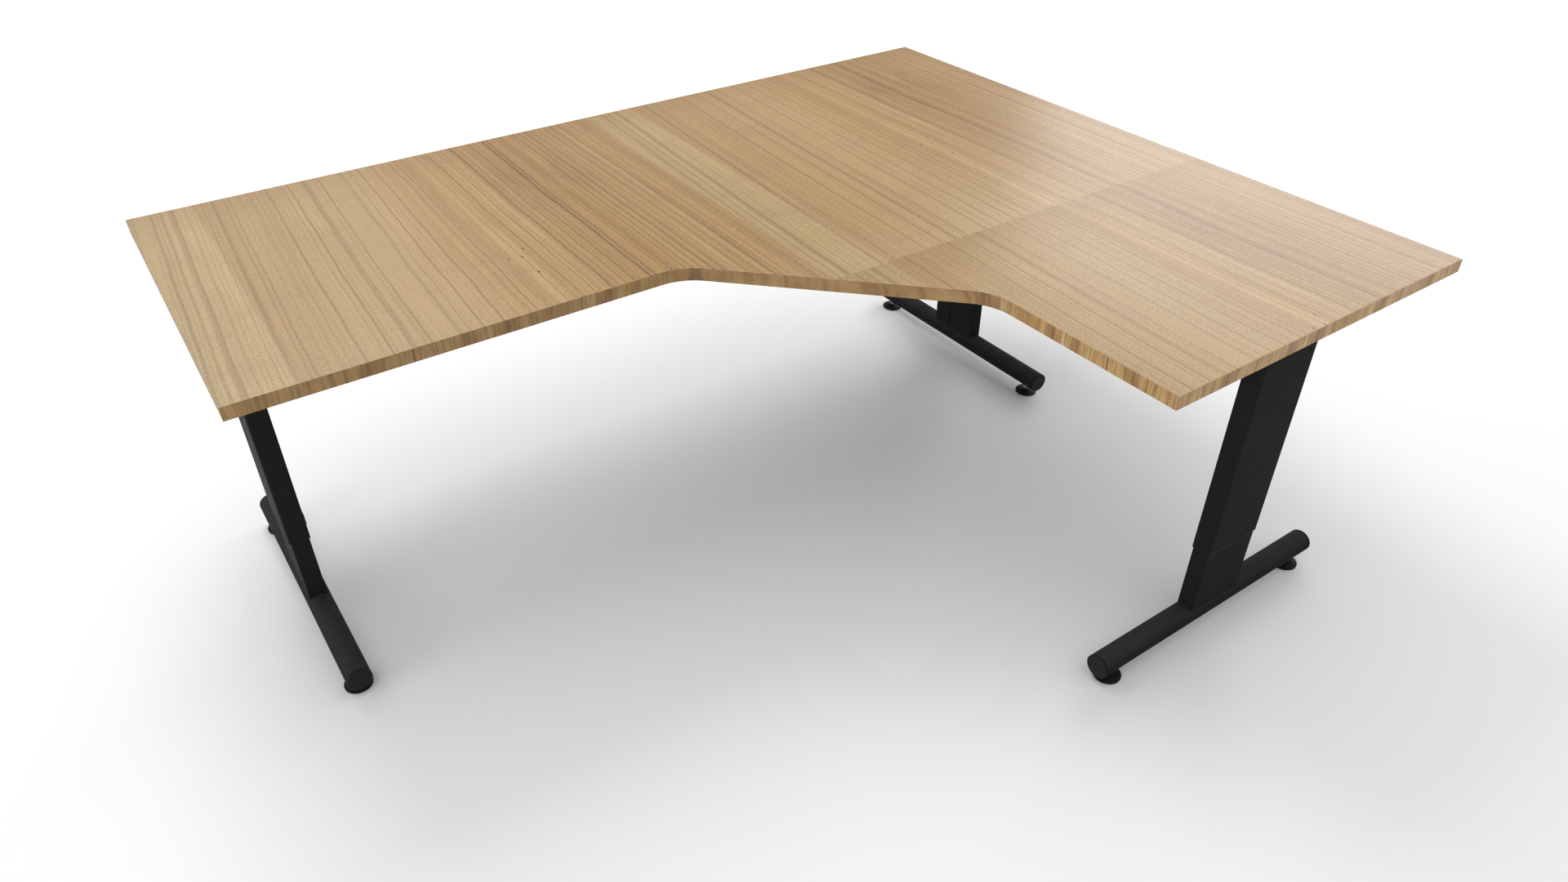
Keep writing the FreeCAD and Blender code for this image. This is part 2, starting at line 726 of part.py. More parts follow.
def guide_plug(leg):
    """Plastic guide on the column's upper end: head slides in the sleeve, spigot sits in the column."""
    name = f"guide_plug_{leg.name}"
    body = new_body(name)
    head = new_sketch(body, f"{name}_head_sketch", "XY_Plane", "column_top")
    rounded_rectangle(head, "plug_thickness", "plug_width", "plug_edge")
    extrude(body, head, f"{name}_head", "sizes.plug_head")
    spigot = new_sketch(body, f"{name}_spigot_sketch", "XY_Plane", "column_top")
    centred_rectangle(spigot, "spigot_thickness", "spigot_width")
    extrude(body, spigot, f"{name}_spigot", "sizes.plug_spigot", back=True)
    vent = new_sketch(body, f"{name}_vent_sketch", "XY_Plane", "column_top")
    circle(vent, "plug_bore_radius")
    through = "4 * sizes.plug_spigot"
    extrude(body, vent, f"{name}_vent", through, both_ways=True, cut=True)
    place_on_leg(body, leg)


def sleeve(leg):
    """Moving outer column, with clamp screw holes low down and bracket screw holes at the top."""
    name = f"sleeve_{leg.name}"
    body = new_body(name)
    section = new_sketch(body, f"{name}_section", "XY_Plane", "sleeve_bottom")
    rounded_rectangle(section, "sleeve_thickness", "sleeve_width", "sleeve_edge")
    rounded_rectangle(section, "sleeve_bore_thickness", "sleeve_bore_width", "sleeve_bore_edge")
    extrude(body, section, f"{name}_pad", "sizes.sleeve_length")
    clamp = new_sketch(body, f"{name}_clamp_holes", "YZ_Plane")
    hole_row(clamp, "clamp_hole_radius", "clamp_spacing", "clamp_height")
    extrude(body, clamp, f"{name}_clamp_pocket", "sizes.sleeve_thickness", back=True, cut=True)
    bracket = new_sketch(body, f"{name}_bracket_holes", "YZ_Plane")
    hole_row(bracket, "bracket_screw_radius", "bracket_screw_pitch", "rail_centre_z")
    extrude(body, bracket, f"{name}_bracket_pocket", "sizes.sleeve_thickness", back=True, cut=True)
    place_on_leg(body, leg)


def hole_row(sketch, radius, spacing, height=0, middle=0):
    """Two circles at one height, spread evenly about a middle line."""
    for side in (-1, 1):
        centre = Vector(number(middle) + side * size(spacing) / 2, number(height), 0)
        index = sketch.addGeometry(Part.Circle(centre, UP, size(radius)))
        drive(sketch, Sketcher.Constraint("Radius", index, size(radius)), f"sizes.{radius}")
        across = Sketcher.Constraint("DistanceX", -1, 1, index, 3, centre.x)
        drive(sketch, across, f"{formula(middle)} + {side} * sizes.{spacing} / 2")
        if height:
            up = Sketcher.Constraint("DistanceY", -1, 1, index, 3, centre.y)
            drive(sketch, up, formula(height))
        else:
            sketch.addConstraint(Sketcher.Constraint("PointOnObject", index, 3, -1))


def guide_ring(leg):
    """Plastic guide at the sleeve's mouth: flange under the sleeve, upstand in the gap, key in the groove."""
    name = f"guide_ring_{leg.name}"
    body = new_body(name)
    flange = new_sketch(body, f"{name}_flange_sketch", "XY_Plane", "sleeve_foot_height")
    rounded_rectangle(flange, "sleeve_thickness", "sleeve_width", "sleeve_edge")
    rounded_rectangle(flange, "ring_bore_thickness", "ring_bore_width", "ring_bore_edge")
    extrude(body, flange, f"{name}_flange", "sizes.ring_flange")
    upstand = new_sketch(body, f"{name}_upstand_sketch", "XY_Plane", "sleeve_bottom")
    rounded_rectangle(upstand, "sleeve_bore_thickness", "sleeve_bore_width", "sleeve_bore_edge")
    rounded_rectangle(upstand, "ring_bore_thickness", "ring_bore_width", "ring_bore_edge")
    extrude(body, upstand, f"{name}_upstand", "sizes.ring_upstand")
    key = new_sketch(body, f"{name}_key_sketch", "XY_Plane", "sleeve_foot_height")
    box_between(key, "key_tip", "key_root", "-key_far", "-key_near")
    keyed = extrude(body, key, f"{name}_key", "sizes.ring_flange + sizes.ring_upstand")
    doc.recompute()
    chamfer = body.newObject("PartDesign::Chamfer", f"{name}_chamfer")
    chamfer.Base = (keyed, outline_edges(keyed.Shape, size("sleeve_foot_height")))
    chamfer.setExpression("Size", "sizes.ring_chamfer")
    place_on_leg(body, leg)


def clamp_plate(leg):
    """Threaded plate welded to the knee side of the sleeve."""
    name = f"clamp_plate_{leg.name}"
    body = new_body(name)
    outline = new_sketch(body, f"{name}_outline", "YZ_Plane", "half_sleeve_thickness")
    box_between(outline, "-clamp_plate_side", "clamp_plate_side", "clamp_plate_low", "clamp_plate_high")
    extrude(body, outline, f"{name}_pad", "sizes.clamp_plate_thickness")
    holes = new_sketch(body, f"{name}_holes", "YZ_Plane", "half_sleeve_thickness")
    hole_row(holes, "clamp_screw_radius", "clamp_spacing", "clamp_height")
    extrude(body, holes, f"{name}_pocket", "sizes.clamp_plate_thickness", back=True, cut=True)
    place_on_leg(body, leg)


def hexagon_prism(base, axis, flats, depth):
    """Level hexagon prism from a base point, by the distance across its flats."""
    corner_radius = flats / 2 / Rotation(UP, 30).multVec(Vector(1, 0, 0)).x
    corners = [Rotation(axis, 60 * step).multVec(UP * corner_radius) for step in range(7)]
    face = Part.Face(Part.makePolygon([base + corner for corner in corners]))
    return face.extrude(axis * depth)


def socket_screw(tip, axis, length, radius, head_radius, head_height, flats):
    """Level cap screw with a hexagon socket; its axis points from the tip to the head."""
    shank = Part.makeCylinder(radius, length, tip, axis)
    seat = tip + axis * length
    head = Part.makeCylinder(head_radius, head_height, seat, axis)
    socket = hexagon_prism(seat + axis * (head_height / 2), axis, flats, head_height)
    return shank.fuse(head).removeSplitter().cut(socket)


def clamp_screws(leg):
    """Two headless screws, flush with the clamp plate, that press on the column."""
    screws = []
    axis = Vector(1, 0, 0)
    length = size("clamp_face") - size("clamp_tip")
    depth = size("clamp_socket_depth")
    for side in (-1, 1):
        tip = Vector(size("clamp_tip"), side * size("clamp_spacing") / 2, size("clamp_height"))
        shank = Part.makeCylinder(size("clamp_screw_radius"), length, tip, axis)
        socket = hexagon_prism(tip + axis * (length - depth), axis, size("clamp_socket_flats"), depth)
        screws.append(shank.cut(socket))
    place_on_leg(solid_group(f"clamp_screws_{leg.name}", screws), leg)


# ---------------------------------------------------------------- underframe


def top_plate(leg):
    """Steel plate between the sleeve's upper end and the worktop."""
    name = f"top_plate_{leg.name}"
    body = new_body(name)
    outline = new_sketch(body, f"{name}_outline", "XY_Plane", "sleeve_top")
    centred_rectangle(outline, "plate_width", "plate_length")
    extrude(body, outline, f"{name}_pad", "sizes.plate_thickness")
    holes = new_sketch(body, f"{name}_hole_sketch", "XY_Plane", "sleeve_top")
    for pitch in ("wood_inner_pitch", "wood_outer_pitch"):
        four_screw_holes(holes, pitch)
    extrude(body, holes, f"{name}_holes", "sizes.plate_thickness", back=True, cut=True)
    place_on_leg(body, leg)


def four_screw_holes(sketch, pitch):
    """Four clearance holes on a rectangle of the row spacing by the given pitch."""
    for sx in (-1, 1):
        for sy in (-1, 1):
            x = sx * size("wood_row_spacing") / 2
            y = sy * size(pitch) / 2
            index = sketch.addGeometry(Part.Circle(Vector(x, y, 0), UP, size("wood_hole_radius")))
            radius = Sketcher.Constraint("Radius", index, size("wood_hole_radius"))
            drive(sketch, radius, "sizes.wood_hole_radius")
            across = Sketcher.Constraint("DistanceX", -1, 1, index, 3, x)
            drive(sketch, across, f"{sx} * sizes.wood_row_spacing / 2")
            along = Sketcher.Constraint("DistanceY", -1, 1, index, 3, y)
            drive(sketch, along, f"{sy} * sizes.{pitch} / 2")


def wood_screws():
    """Pan-head screws through the three top plates into the worktop."""
    screws = []
    head_height = size("wood_head_height")
    for leg in LEGS:
        for x, y in plate_screw_points():
            seat = leg.placement().multVec(Vector(x, y, size("sleeve_top")))
            shank = Part.makeCylinder(size("wood_screw_radius"), size("wood_screw_length"), seat)
            head_base = seat - UP * head_height
            head = Part.makeCylinder(size("wood_head_radius"), head_height, head_base)
            domed = head.makeChamfer(head_height / 3, [head.Edges[2]])
            screws.append(shank.fuse(domed).removeSplitter())
    solid_group("wood_screws", screws)


def rail(name, length):
    """Rectangular tube along X from the origin, centred on Y and Z."""
    body = new_body(name)
    section = new_sketch(body, f"{name}_section", "YZ_Plane")
    rounded_rectangle(section, "rail_width", "rail_height", "rail_edge")
    extrude(body, section, f"{name}_pad", f"sizes.{length}")
    bore = new_sketch(body, f"{name}_bore_sketch", "YZ_Plane")
    centred_rectangle(bore, "rail_bore_width", "rail_bore_height")
    extrude(body, bore, f"{name}_bore", f"sizes.{length}", back=True, cut=True)
    return body


def rail_bracket(name):
    """Screw-on end bracket: plate in the YZ plane and a hollow tongue along X into the rail."""
    body = new_body(name)
    plate = new_sketch(body, f"{name}_plate_sketch", "YZ_Plane")
    centred_rectangle(plate, "bracket_width", "rail_height")
    extrude(body, plate, f"{name}_plate", "sizes.bracket_thickness")
    tongue = new_sketch(body, f"{name}_tongue_sketch", "YZ_Plane", "bracket_thickness")
    centred_rectangle(tongue, "tongue_width", "tongue_height")
    centred_rectangle(tongue, "tongue_bore_width", "tongue_bore_height")
    extrude(body, tongue, f"{name}_tongue", "sizes.bracket_tongue")
    holes = new_sketch(body, f"{name}_holes", "YZ_Plane")
    hole_row(holes, "bracket_hole_radius", "bracket_screw_pitch")
    extrude(body, holes, f"{name}_pocket", "sizes.bracket_thickness", back=True, cut=True)
    return body


# Bracket name, its plan position and the turn that points its tongue along the rail
BRACKETS = [
    ("rail_bracket_left", "knee_face_left", "left_leg_y", 0),
    ("rail_bracket_corner", "knee_face_corner", "left_leg_y", 180),
    ("rail_bracket_tee", "right_leg_x", "tee_face", -90),
    ("rail_bracket_right", "right_leg_x", "knee_face_right", 90),
]


def underframe():
    long_rail = rail("rail_long", "long_rail_length")
    tee_holes = new_sketch(long_rail, "rail_long_tee_holes", "XZ_Plane")
    hole_row(tee_holes, "bracket_screw_radius", "bracket_screw_pitch", middle="tee_along_rail")
    extrude(long_rail, tee_holes, "rail_long_tee_pocket", "sizes.rail_width", back=True, cut=True)
    place_at(long_rail, "long_rail_start", "left_leg_y", "rail_centre_z")
    short_rail = rail("rail_short", "short_rail_length")
    place_at(short_rail, "right_leg_x", "short_rail_start", "rail_centre_z", 90)
    for name, x, y, turn in BRACKETS:
        place_at(rail_bracket(name), x, y, "rail_centre_z", turn)
    bracket_screws()


def bracket_screws():
    """Two screws through each rail bracket into the sleeve or rail behind it."""
    screws = []
    length = size("bracket_screw_length")
    for _, x, y, turn in BRACKETS:
        where = Placement(Vector(size(x), size(y), size("rail_centre_z")), Rotation(UP, turn))
        outward = where.Rotation.multVec(Vector(1, 0, 0))
        for side in (-1, 1):
            depth = size("bracket_thickness") - length
            tip = where.multVec(Vector(depth, side * size("bracket_screw_pitch") / 2, 0))
            screw = socket_screw(
                tip,
                outward,
                length,
                size("bracket_screw_radius"),
                size("bracket_head_radius"),
                size("bracket_head_height"),
                size("bracket_socket_flats"),
            )
            screws.append(screw)
    solid_group("bracket_screws", screws)


def leg_pieces(leg):
    foot_tube(leg)
    foot_caps(leg)
    glide_inserts(leg)
    for end, side in leg.ends:
        glide_pad(leg, end, side)
        glide_stud(leg, end, side)
    column(leg)
    guide_plug(leg)
    guide_ring(leg)
    sleeve(leg)
    clamp_plate(leg)
    clamp_screws(leg)
    top_plate(leg)


# ---------------------------------------------------------------- build and write


def pieces():
    """Top-level sub-parts: every body and every group of solids."""
    kinds = ("PartDesign::Body", "Part::Feature")
    return [item for item in doc.Objects if item.TypeId in kinds]


def check():
    for item in doc.Objects:
        if "Invalid" in item.State or "Error" in item.State:
            raise RuntimeError(f"{item.Name} did not recompute: {item.State}")
    for piece in pieces():
        if piece.Shape.isNull() or not piece.Shape.isValid() or not piece.Shape.Solids:
            raise RuntimeError(f"{piece.Label} has no valid solid")


def write():
    os.makedirs("parts", exist_ok=True)
    for piece in pieces():
        piece.Shape.exportStep(f"parts/{piece.Label}.step")


fill_sheet()
worktop()
for each_leg in LEGS:
    leg_pieces(each_leg)
wood_screws()
underframe()
doc.recompute()
check()
write()
print(f"{len(pieces())} pieces written")
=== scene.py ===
import json
import math

import bpy
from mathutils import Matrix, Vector


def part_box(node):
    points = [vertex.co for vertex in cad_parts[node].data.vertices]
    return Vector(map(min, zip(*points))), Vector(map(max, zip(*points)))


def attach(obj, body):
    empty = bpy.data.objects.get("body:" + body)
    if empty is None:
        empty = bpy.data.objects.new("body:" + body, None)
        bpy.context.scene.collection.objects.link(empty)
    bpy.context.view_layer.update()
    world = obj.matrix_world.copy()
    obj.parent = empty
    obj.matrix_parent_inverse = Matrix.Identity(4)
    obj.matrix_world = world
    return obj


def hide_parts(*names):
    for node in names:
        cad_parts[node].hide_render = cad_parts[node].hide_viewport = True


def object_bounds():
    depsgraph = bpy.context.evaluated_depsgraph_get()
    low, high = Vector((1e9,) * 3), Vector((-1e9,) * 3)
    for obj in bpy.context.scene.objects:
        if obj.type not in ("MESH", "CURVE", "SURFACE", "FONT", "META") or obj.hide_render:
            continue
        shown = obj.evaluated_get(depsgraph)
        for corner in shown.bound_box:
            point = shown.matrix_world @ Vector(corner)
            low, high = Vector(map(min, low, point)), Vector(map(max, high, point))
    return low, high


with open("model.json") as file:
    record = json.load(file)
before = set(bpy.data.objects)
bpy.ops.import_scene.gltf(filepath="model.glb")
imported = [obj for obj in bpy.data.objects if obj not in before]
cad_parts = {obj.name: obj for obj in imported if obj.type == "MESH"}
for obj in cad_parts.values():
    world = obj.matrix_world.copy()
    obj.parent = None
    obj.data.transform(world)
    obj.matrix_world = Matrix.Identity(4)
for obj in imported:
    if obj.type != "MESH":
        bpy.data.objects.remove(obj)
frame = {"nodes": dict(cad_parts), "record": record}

# Looks of the corner desk: procedural materials, small fittings, studio and camera.
# Metres, in the CAD's frame. Patterns follow each piece's own coordinates, so they travel with it.

cad_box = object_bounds()
LEFT = cad_box[0].x
FRONT = cad_box[0].y
BACK = cad_box[1].y


def shade(red, green, blue, alpha=1.0):
    """Linear colour from display values of 0 to 255."""
    def linear(value):
        value /= 255
        return value / 12.92 if value <= 0.04045 else ((value + 0.055) / 1.055) ** 2.4

    return (linear(red), linear(green), linear(blue), alpha)


# ---------------------------------------------------------------- node graphs


# Growth rings: how far and how quickly their spacing sways, in rings, and where the next one starts to rise
RING_SWAY = 1.8
RING_SWAY_SCALE = 0.55
RING_RISE = 0.95


class Graph:
    """A material's node graph, with one short method for each kind of node."""

    def __init__(self, name):
        self.material = bpy.data.materials.new(name)
        self.material.use_nodes = True
        self.tree = self.material.node_tree
        self.shader = self.tree.nodes["Principled BSDF"]

    def node(self, kind, **settings):
        node = self.tree.nodes.new(kind)
        for name, value in settings.items():
            setattr(node, name, value)
        return node

    def feed(self, socket, value):
        """Link a socket to another node's output, or set it to a plain value."""
        if isinstance(value, bpy.types.NodeSocket):
            self.tree.links.new(value, socket)
        else:
            socket.default_value = value

    def set(self, name, value):
        """Link or set one of the shader's own sockets."""
        self.feed(self.shader.inputs[name], value)

    def place(self):
        """The piece's own coordinates."""
        return self.node("ShaderNodeTexCoord").outputs["Object"]

    def normal(self):
        """Direction that the surface faces."""
        return self.node("ShaderNodeNewGeometry").outputs["Normal"]

    def split(self, vector):
        node = self.node("ShaderNodeSeparateXYZ")
        self.feed(node.inputs[0], vector)
        return node.outputs[0], node.outputs[1], node.outputs[2]

    def join(self, x, y, z=0.0):
        node = self.node("ShaderNodeCombineXYZ")
        for socket, value in zip(node.inputs, (x, y, z)):
            self.feed(socket, value)
        return node.outputs[0]

    def calc(self, operation, a, b=0.0):
        node = self.node("ShaderNodeMath", operation=operation)
        self.feed(node.inputs[0], a)
        self.feed(node.inputs[1], b)
        return node.outputs[0]

    def add(self, a, b):
        return self.calc("ADD", a, b)

    def minus(self, a, b):
        return self.calc("SUBTRACT", a, b)

    def times(self, a, b):
        return self.calc("MULTIPLY", a, b)

    def fade(self, value, start, end, low=0.0, high=1.0):
        """Smooth step of a value from low at start to high at end."""
        node = self.node("ShaderNodeMapRange", interpolation_type="SMOOTHSTEP")
        for name, number in (("From Min", start), ("From Max", end), ("To Min", low), ("To Max", high)):
            node.inputs[name].default_value = number
        self.feed(node.inputs["Value"], value)
        return node.outputs[0]

    def noise(self, vector, scale, detail=2.0, roughness=0.5):
        node = self.node("ShaderNodeTexNoise")
        self.feed(node.inputs["Vector"], vector)
        node.inputs["Scale"].default_value = scale
        node.inputs["Detail"].default_value = detail
        node.inputs["Roughness"].default_value = roughness
        return node.outputs["Fac"]

    def grained(self, across, along, across_scale, along_scale, detail=2.0, roughness=0.5):
        """Noise with its own scale across and along the grain."""
        stretched = self.join(self.times(across, across_scale), self.times(along, along_scale))
        return self.noise(stretched, 1.0, detail, roughness)

    def cells(self, vector, scale):
        """Random colour for each cell of a broken-up space."""
        node = self.node("ShaderNodeTexVoronoi")
        self.feed(node.inputs["Vector"], vector)
        node.inputs["Scale"].default_value = scale
        return node.outputs["Color"]

    def lines(self, across, per_metre, width):
        """Thin lines at uneven spacing across a coordinate: 1 on a line, 0 between lines."""
        node = self.node("ShaderNodeTexVoronoi", voronoi_dimensions="1D", feature="DISTANCE_TO_EDGE")
        self.feed(node.inputs["W"], across)
        node.inputs["Scale"].default_value = per_metre
        return self.fade(node.outputs["Distance"], 0.0, width * per_metre, 1.0, 0.0)

    def rings(self, across, per_metre, tail):
        """Growth rings: each starts with a sharp dark line, pales over its tail and has its own strength."""
        turn = self.times(across, per_metre)
        sway = self.noise(self.join(turn, 0.0), RING_SWAY_SCALE, 1.0)
        turn = self.add(turn, self.times(sway, RING_SWAY))
        phase = self.calc("FRACT", turn)
        paling = self.fade(phase, 0.0, tail, 1.0, 0.0)
        rise = self.fade(phase, RING_RISE, 1.0, 0.0, 1.0)
        number = self.node("ShaderNodeTexWhiteNoise", noise_dimensions="1D")
        self.feed(number.inputs["W"], self.calc("ROUND", self.minus(turn, phase)))
        line = self.calc("MAXIMUM", self.times(paling, paling), rise)
        return line, number.outputs["Value"]

    def blend(self, amount, a, b):
        """Colour a, with colour b laid over it by an amount of 0 to 1."""
        node = self.node("ShaderNodeMix", data_type="RGBA")
        self.feed(node.inputs[0], amount)
        self.feed(node.inputs[6], a)
        self.feed(node.inputs[7], b)
        return node.outputs[2]

    def ramp(self, value, stops):
        """Colour along a value, from a list of (place, colour)."""
        node = self.node("ShaderNodeValToRGB")
        self.feed(node.inputs[0], value)
        elements = node.color_ramp.elements
        while len(elements) < len(stops):
            elements.new(1.0)
        for element, (place, colour) in zip(elements, stops):
            element.position = place
            element.color = colour
        return node.outputs["Color"]

    def rounded_normal(self, radius):
        """Normal that is softened within a small radius of the edges."""
        node = self.node("ShaderNodeBevel", samples=4)
        node.inputs["Radius"].default_value = radius
        return node.outputs[0]

    def edge_wear(self, radius):
        """1 along outer edges, 0 on flat faces."""
        facing = self.node("ShaderNodeVectorMath", operation="DOT_PRODUCT")
        self.feed(facing.inputs[0], self.rounded_normal(radius))
        self.feed(facing.inputs[1], self.normal())
        return self.fade(facing.outputs["Value"], 0.7, 0.98, 1.0, 0.0)

    def bump(self, height, depth, radius):
        """Fine relief of a given depth in metres, over edges rounded to a radius."""
        node = self.node("ShaderNodeBump")
        node.inputs["Distance"].default_value = depth
        self.feed(node.inputs["Height"], height)
        self.feed(node.inputs["Normal"], self.rounded_normal(radius))
        self.set("Normal", node.outputs[0])


# ---------------------------------------------------------------- wood


# One repeat of the printed boards, along and across them
PATTERN_LENGTH = 1.0

# Base tone across one repeat of the boards, from pale sapwood to the brown heart board
BOARD_TONES = [
    (0.000, shade(172, 147, 101)),
    (0.118, shade(182, 156, 110)),
    (0.123, shade(167, 135, 88)),
    (0.200, shade(171, 141, 93)),
    (0.420, shade(176, 147, 100)),
    (0.500, shade(176, 145, 94)),
    (0.560, shade(176, 143, 91)),
    (0.640, shade(173, 138, 86)),
    (0.750, shade(167, 130, 75)),
    (0.830, shade(170, 134, 80)),
    (0.900, shade(173, 138, 88)),
    (1.000, shade(171, 135, 84)),
]

# Tone of the growth lines across the boards
LINE_TONES = [
    (0.00, shade(112, 92, 54)),
    (0.12, shade(120, 96, 54)),
    (0.13, shade(116, 82, 42)),
    (0.50, shade(108, 73, 36)),
    (0.75, shade(80, 48, 20)),
    (1.00, shade(84, 53, 25)),
]

# Strong growth lines: place across the grain, and strength
DARK_LINES = [
    (0.082, 0.55),
    (0.060, 0.38),
    (0.665, 0.45),
    (0.710, 0.35),
    (0.748, 0.80),
    (0.832, 0.55),
    (0.866, 0.45),
    (0.982, 0.35),
]
DARK_LINE_REACH = 0.0035

# How far the grain leans along the pale and the brown boards, and how far it waves and flutters
PALE_LEAN = 0.05
BROWN_LEAN = 0.006
WAVE = 0.016
FLUTTER = 0.004

# Reddish shadow on the brown board: centre and half size, across and along
HEART_CENTRE = (0.76, 0.26)
HEART_REACH = (0.13, 0.20)

# Pin knots: centres and half size, across and along
KNOTS = [(0.592, 0.566), (0.552, 0.592), (0.577, 0.597), (0.578, 0.669)]
KNOT_REACH = (0.0022, 0.0042)

HEART_TONE = shade(134, 98, 46)
START_TONE = shade(140, 104, 56)
END_TONE = shade(212, 188, 150)
DARK_BAND = shade(140, 101, 52)
PALE_BAND = shade(204, 173, 124)
KNOT_TONE = shade(46, 32, 20)

# Patterns of the fine marks: scale across and along the boards, detail, roughness
MARK_PATTERNS = {
    "streaks": (150, 3, 3.0, 0.6),
    "pores": (900, 45, 2.0, 0.6),
    "speckle": (460, 170, 2.0, 0.6),
    "drift": (5, 11, 3.0, 0.55),
}

# Fine marks in the order they are laid on: pattern, where it starts and is full, strength, tone
FINE_MARKS = [
    ("streaks", 0.30, 0.75, 0.24, shade(150, 117, 78)),
    ("pores", 0.52, 0.80, 0.26, shade(120, 88, 54)),
    ("speckle", 0.50, 0.72, 0.42, shade(118, 86, 50)),
    ("speckle", 0.50, 0.28, 0.34, shade(214, 186, 142)),
    ("drift", 0.45, 0.80, 0.30, shade(150, 117, 76)),
]

# Edge band: base tones, and the place along it, which y shifts so that the pattern runs on round a corner
BAND_TONES = [
    (0.34, shade(132, 96, 52)),
    (0.46, shade(172, 134, 80)),
    (0.56, shade(192, 155, 98)),
    (0.68, shade(208, 174, 120)),
]
BAND_LINE_TONE = shade(98, 62, 28)
BAND_FIBRE_TONE = shade(110, 78, 46)
# Tone of the painted shade on the band
BAND_PAINTED_SHADE = shade(112, 82, 46)
BAND_TURN = 1.37
BAND_WANDER = 0.012

# Painted shade on the band: paler at the front of the right wing, darker behind; where the painted shade
# starts and where it is full, back from the front
PAINTED_SHADE_START = 0.28
PAINTED_SHADE_FULL = 0.46


def board_place(g):
    """Place across and along one repeat of the boards, from its back left corner."""
    x, y, _ = g.split(g.place())
    across = g.calc("FRACT", g.times(g.minus(x, LEFT), 1 / PATTERN_LENGTH))
    along = g.calc("FRACT", g.times(g.minus(BACK, y), 1 / PATTERN_LENGTH))
    return across, along


def waver(g, across, along):
    """Place across the grain, which leans on the pale boards and runs straighter on the brown ones."""
    lean = g.times(g.fade(across, 0.35, 0.65, PALE_LEAN, BROWN_LEAN), along)
    wave = g.minus(g.grained(across, along, 1.5, 2.2), 0.5)
    flutter = g.minus(g.grained(across, along, 14, 9), 0.5)
    return g.add(g.add(across, lean), g.add(g.times(wave, WAVE), g.times(flutter, FLUTTER)))


def pale_rings(g, grain):
    """Growth lines of the pale boards: wide apart, with fine ones between."""
    wide, wide_strength = g.rings(grain, 27, 0.24)
    fine, fine_strength = g.rings(g.add(grain, 0.013), 95, 0.50)
    wide = g.times(wide, g.fade(wide_strength, 0.0, 1.0, 0.25, 0.70))
    return g.add(wide, g.times(fine, g.times(fine_strength, 0.85)))


def brown_rings(g, grain):
    """Growth lines of the brown boards: dense, with hair lines between."""
    dense, dense_strength = g.rings(g.add(grain, 0.031), 64, 0.40)
    hair, hair_strength = g.rings(g.add(grain, 0.007), 190, 0.60)
    dense = g.times(dense, g.fade(dense_strength, 0.1, 0.9, 0.40, 1.0))
    return g.add(dense, g.times(hair, g.times(hair_strength, 0.95)))


def ring_lines(g, grain, across, along):
    """Growth lines of all boards, fainter in patches, and a few strong ones."""
    brown = g.fade(across, 0.44, 0.54)
    pale = g.minus(1.0, brown)
    patchy = g.fade(g.grained(grain, along, 26, 1.6), 0.30, 0.62, 0.72, 1.0)
    total = g.add(g.times(pale_rings(g, grain), pale), g.times(brown_rings(g, grain), brown))
    total = g.times(total, patchy)
    for place, strength in DARK_LINES:
        distance = g.calc("ABSOLUTE", g.minus(grain, place))
        total = g.add(total, g.fade(distance, 0.0, DARK_LINE_REACH, strength, 0.0))
    return g.calc("MINIMUM", total, 1.0)


def oval(g, across, along, centre, reach):
    """Squared distance from the centre of an oval, 1 on its rim."""
    offset_across = g.times(g.minus(across, centre[0]), 1 / reach[0])
    offset_along = g.times(g.minus(along, centre[1]), 1 / reach[1])
    return g.add(g.times(offset_across, offset_across), g.times(offset_along, offset_along))


def heart_cloud(g, across, along):
    """Soft ragged shadow across the brown board."""
    radius = oval(g, across, along, HEART_CENTRE, HEART_REACH)
    ragged = g.grained(across, along, 34, 7, 3.0, 0.6)
    return g.times(g.fade(radius, 0.0, 1.3, 1.0, 0.0), g.fade(ragged, 0.36, 0.62))


def knots(g, across, along):
    """Small dark ovals: near 1 in a knot, 0 elsewhere."""
    total = 0.0
    for centre in KNOTS:
        radius = oval(g, across, along, centre, KNOT_REACH)
        total = g.add(total, g.fade(radius, 0.3, 1.0, 0.95, 0.0))
    return total


def broad_tone(g, across, along, grain):
    """Base tone of the boards, with the heart's shadow, each board's two ends and soft bands of grain."""
    bands = g.grained(grain, along, 34, 0.9, 3.0, 0.6)
    strength = g.fade(across, 0.40, 0.56, 0.24, 0.38)
    colour = g.ramp(across, BOARD_TONES)
    colour = g.blend(g.times(heart_cloud(g, across, along), 0.50), colour, HEART_TONE)
    colour = g.blend(g.fade(along, 0.0, 0.16, 0.30, 0.0), colour, START_TONE)
    colour = g.blend(g.fade(along, 0.80, 1.0, 0.0, 0.14), colour, END_TONE)
    colour = g.blend(g.times(g.fade(bands, 0.50, 0.72), strength), colour, DARK_BAND)
    return g.blend(g.times(g.fade(bands, 0.48, 0.28), strength), colour, PALE_BAND)


def board_pattern(g):
    """Colour and relief of the boards printed on the worktop's face, and the pores in them."""
    across, along = board_place(g)
    grain = waver(g, across, along)
    rings = ring_lines(g, grain, across, along)
    marks = {name: g.grained(across, along, *pattern) for name, pattern in MARK_PATTERNS.items()}
    colour = broad_tone(g, across, along, grain)
    colour = g.blend(g.times(rings, 0.90), colour, g.ramp(across, LINE_TONES))
    for name, start, full, strength, tone in FINE_MARKS:
        colour = g.blend(g.fade(marks[name], start, full, 0.0, strength), colour, tone)
    colour = g.blend(knots(g, across, along), colour, KNOT_TONE)
    raised = g.add(g.times(marks["pores"], 0.6), g.times(marks["streaks"], 0.4))
    return colour, g.minus(raised, g.times(rings, 0.5)), marks["pores"]


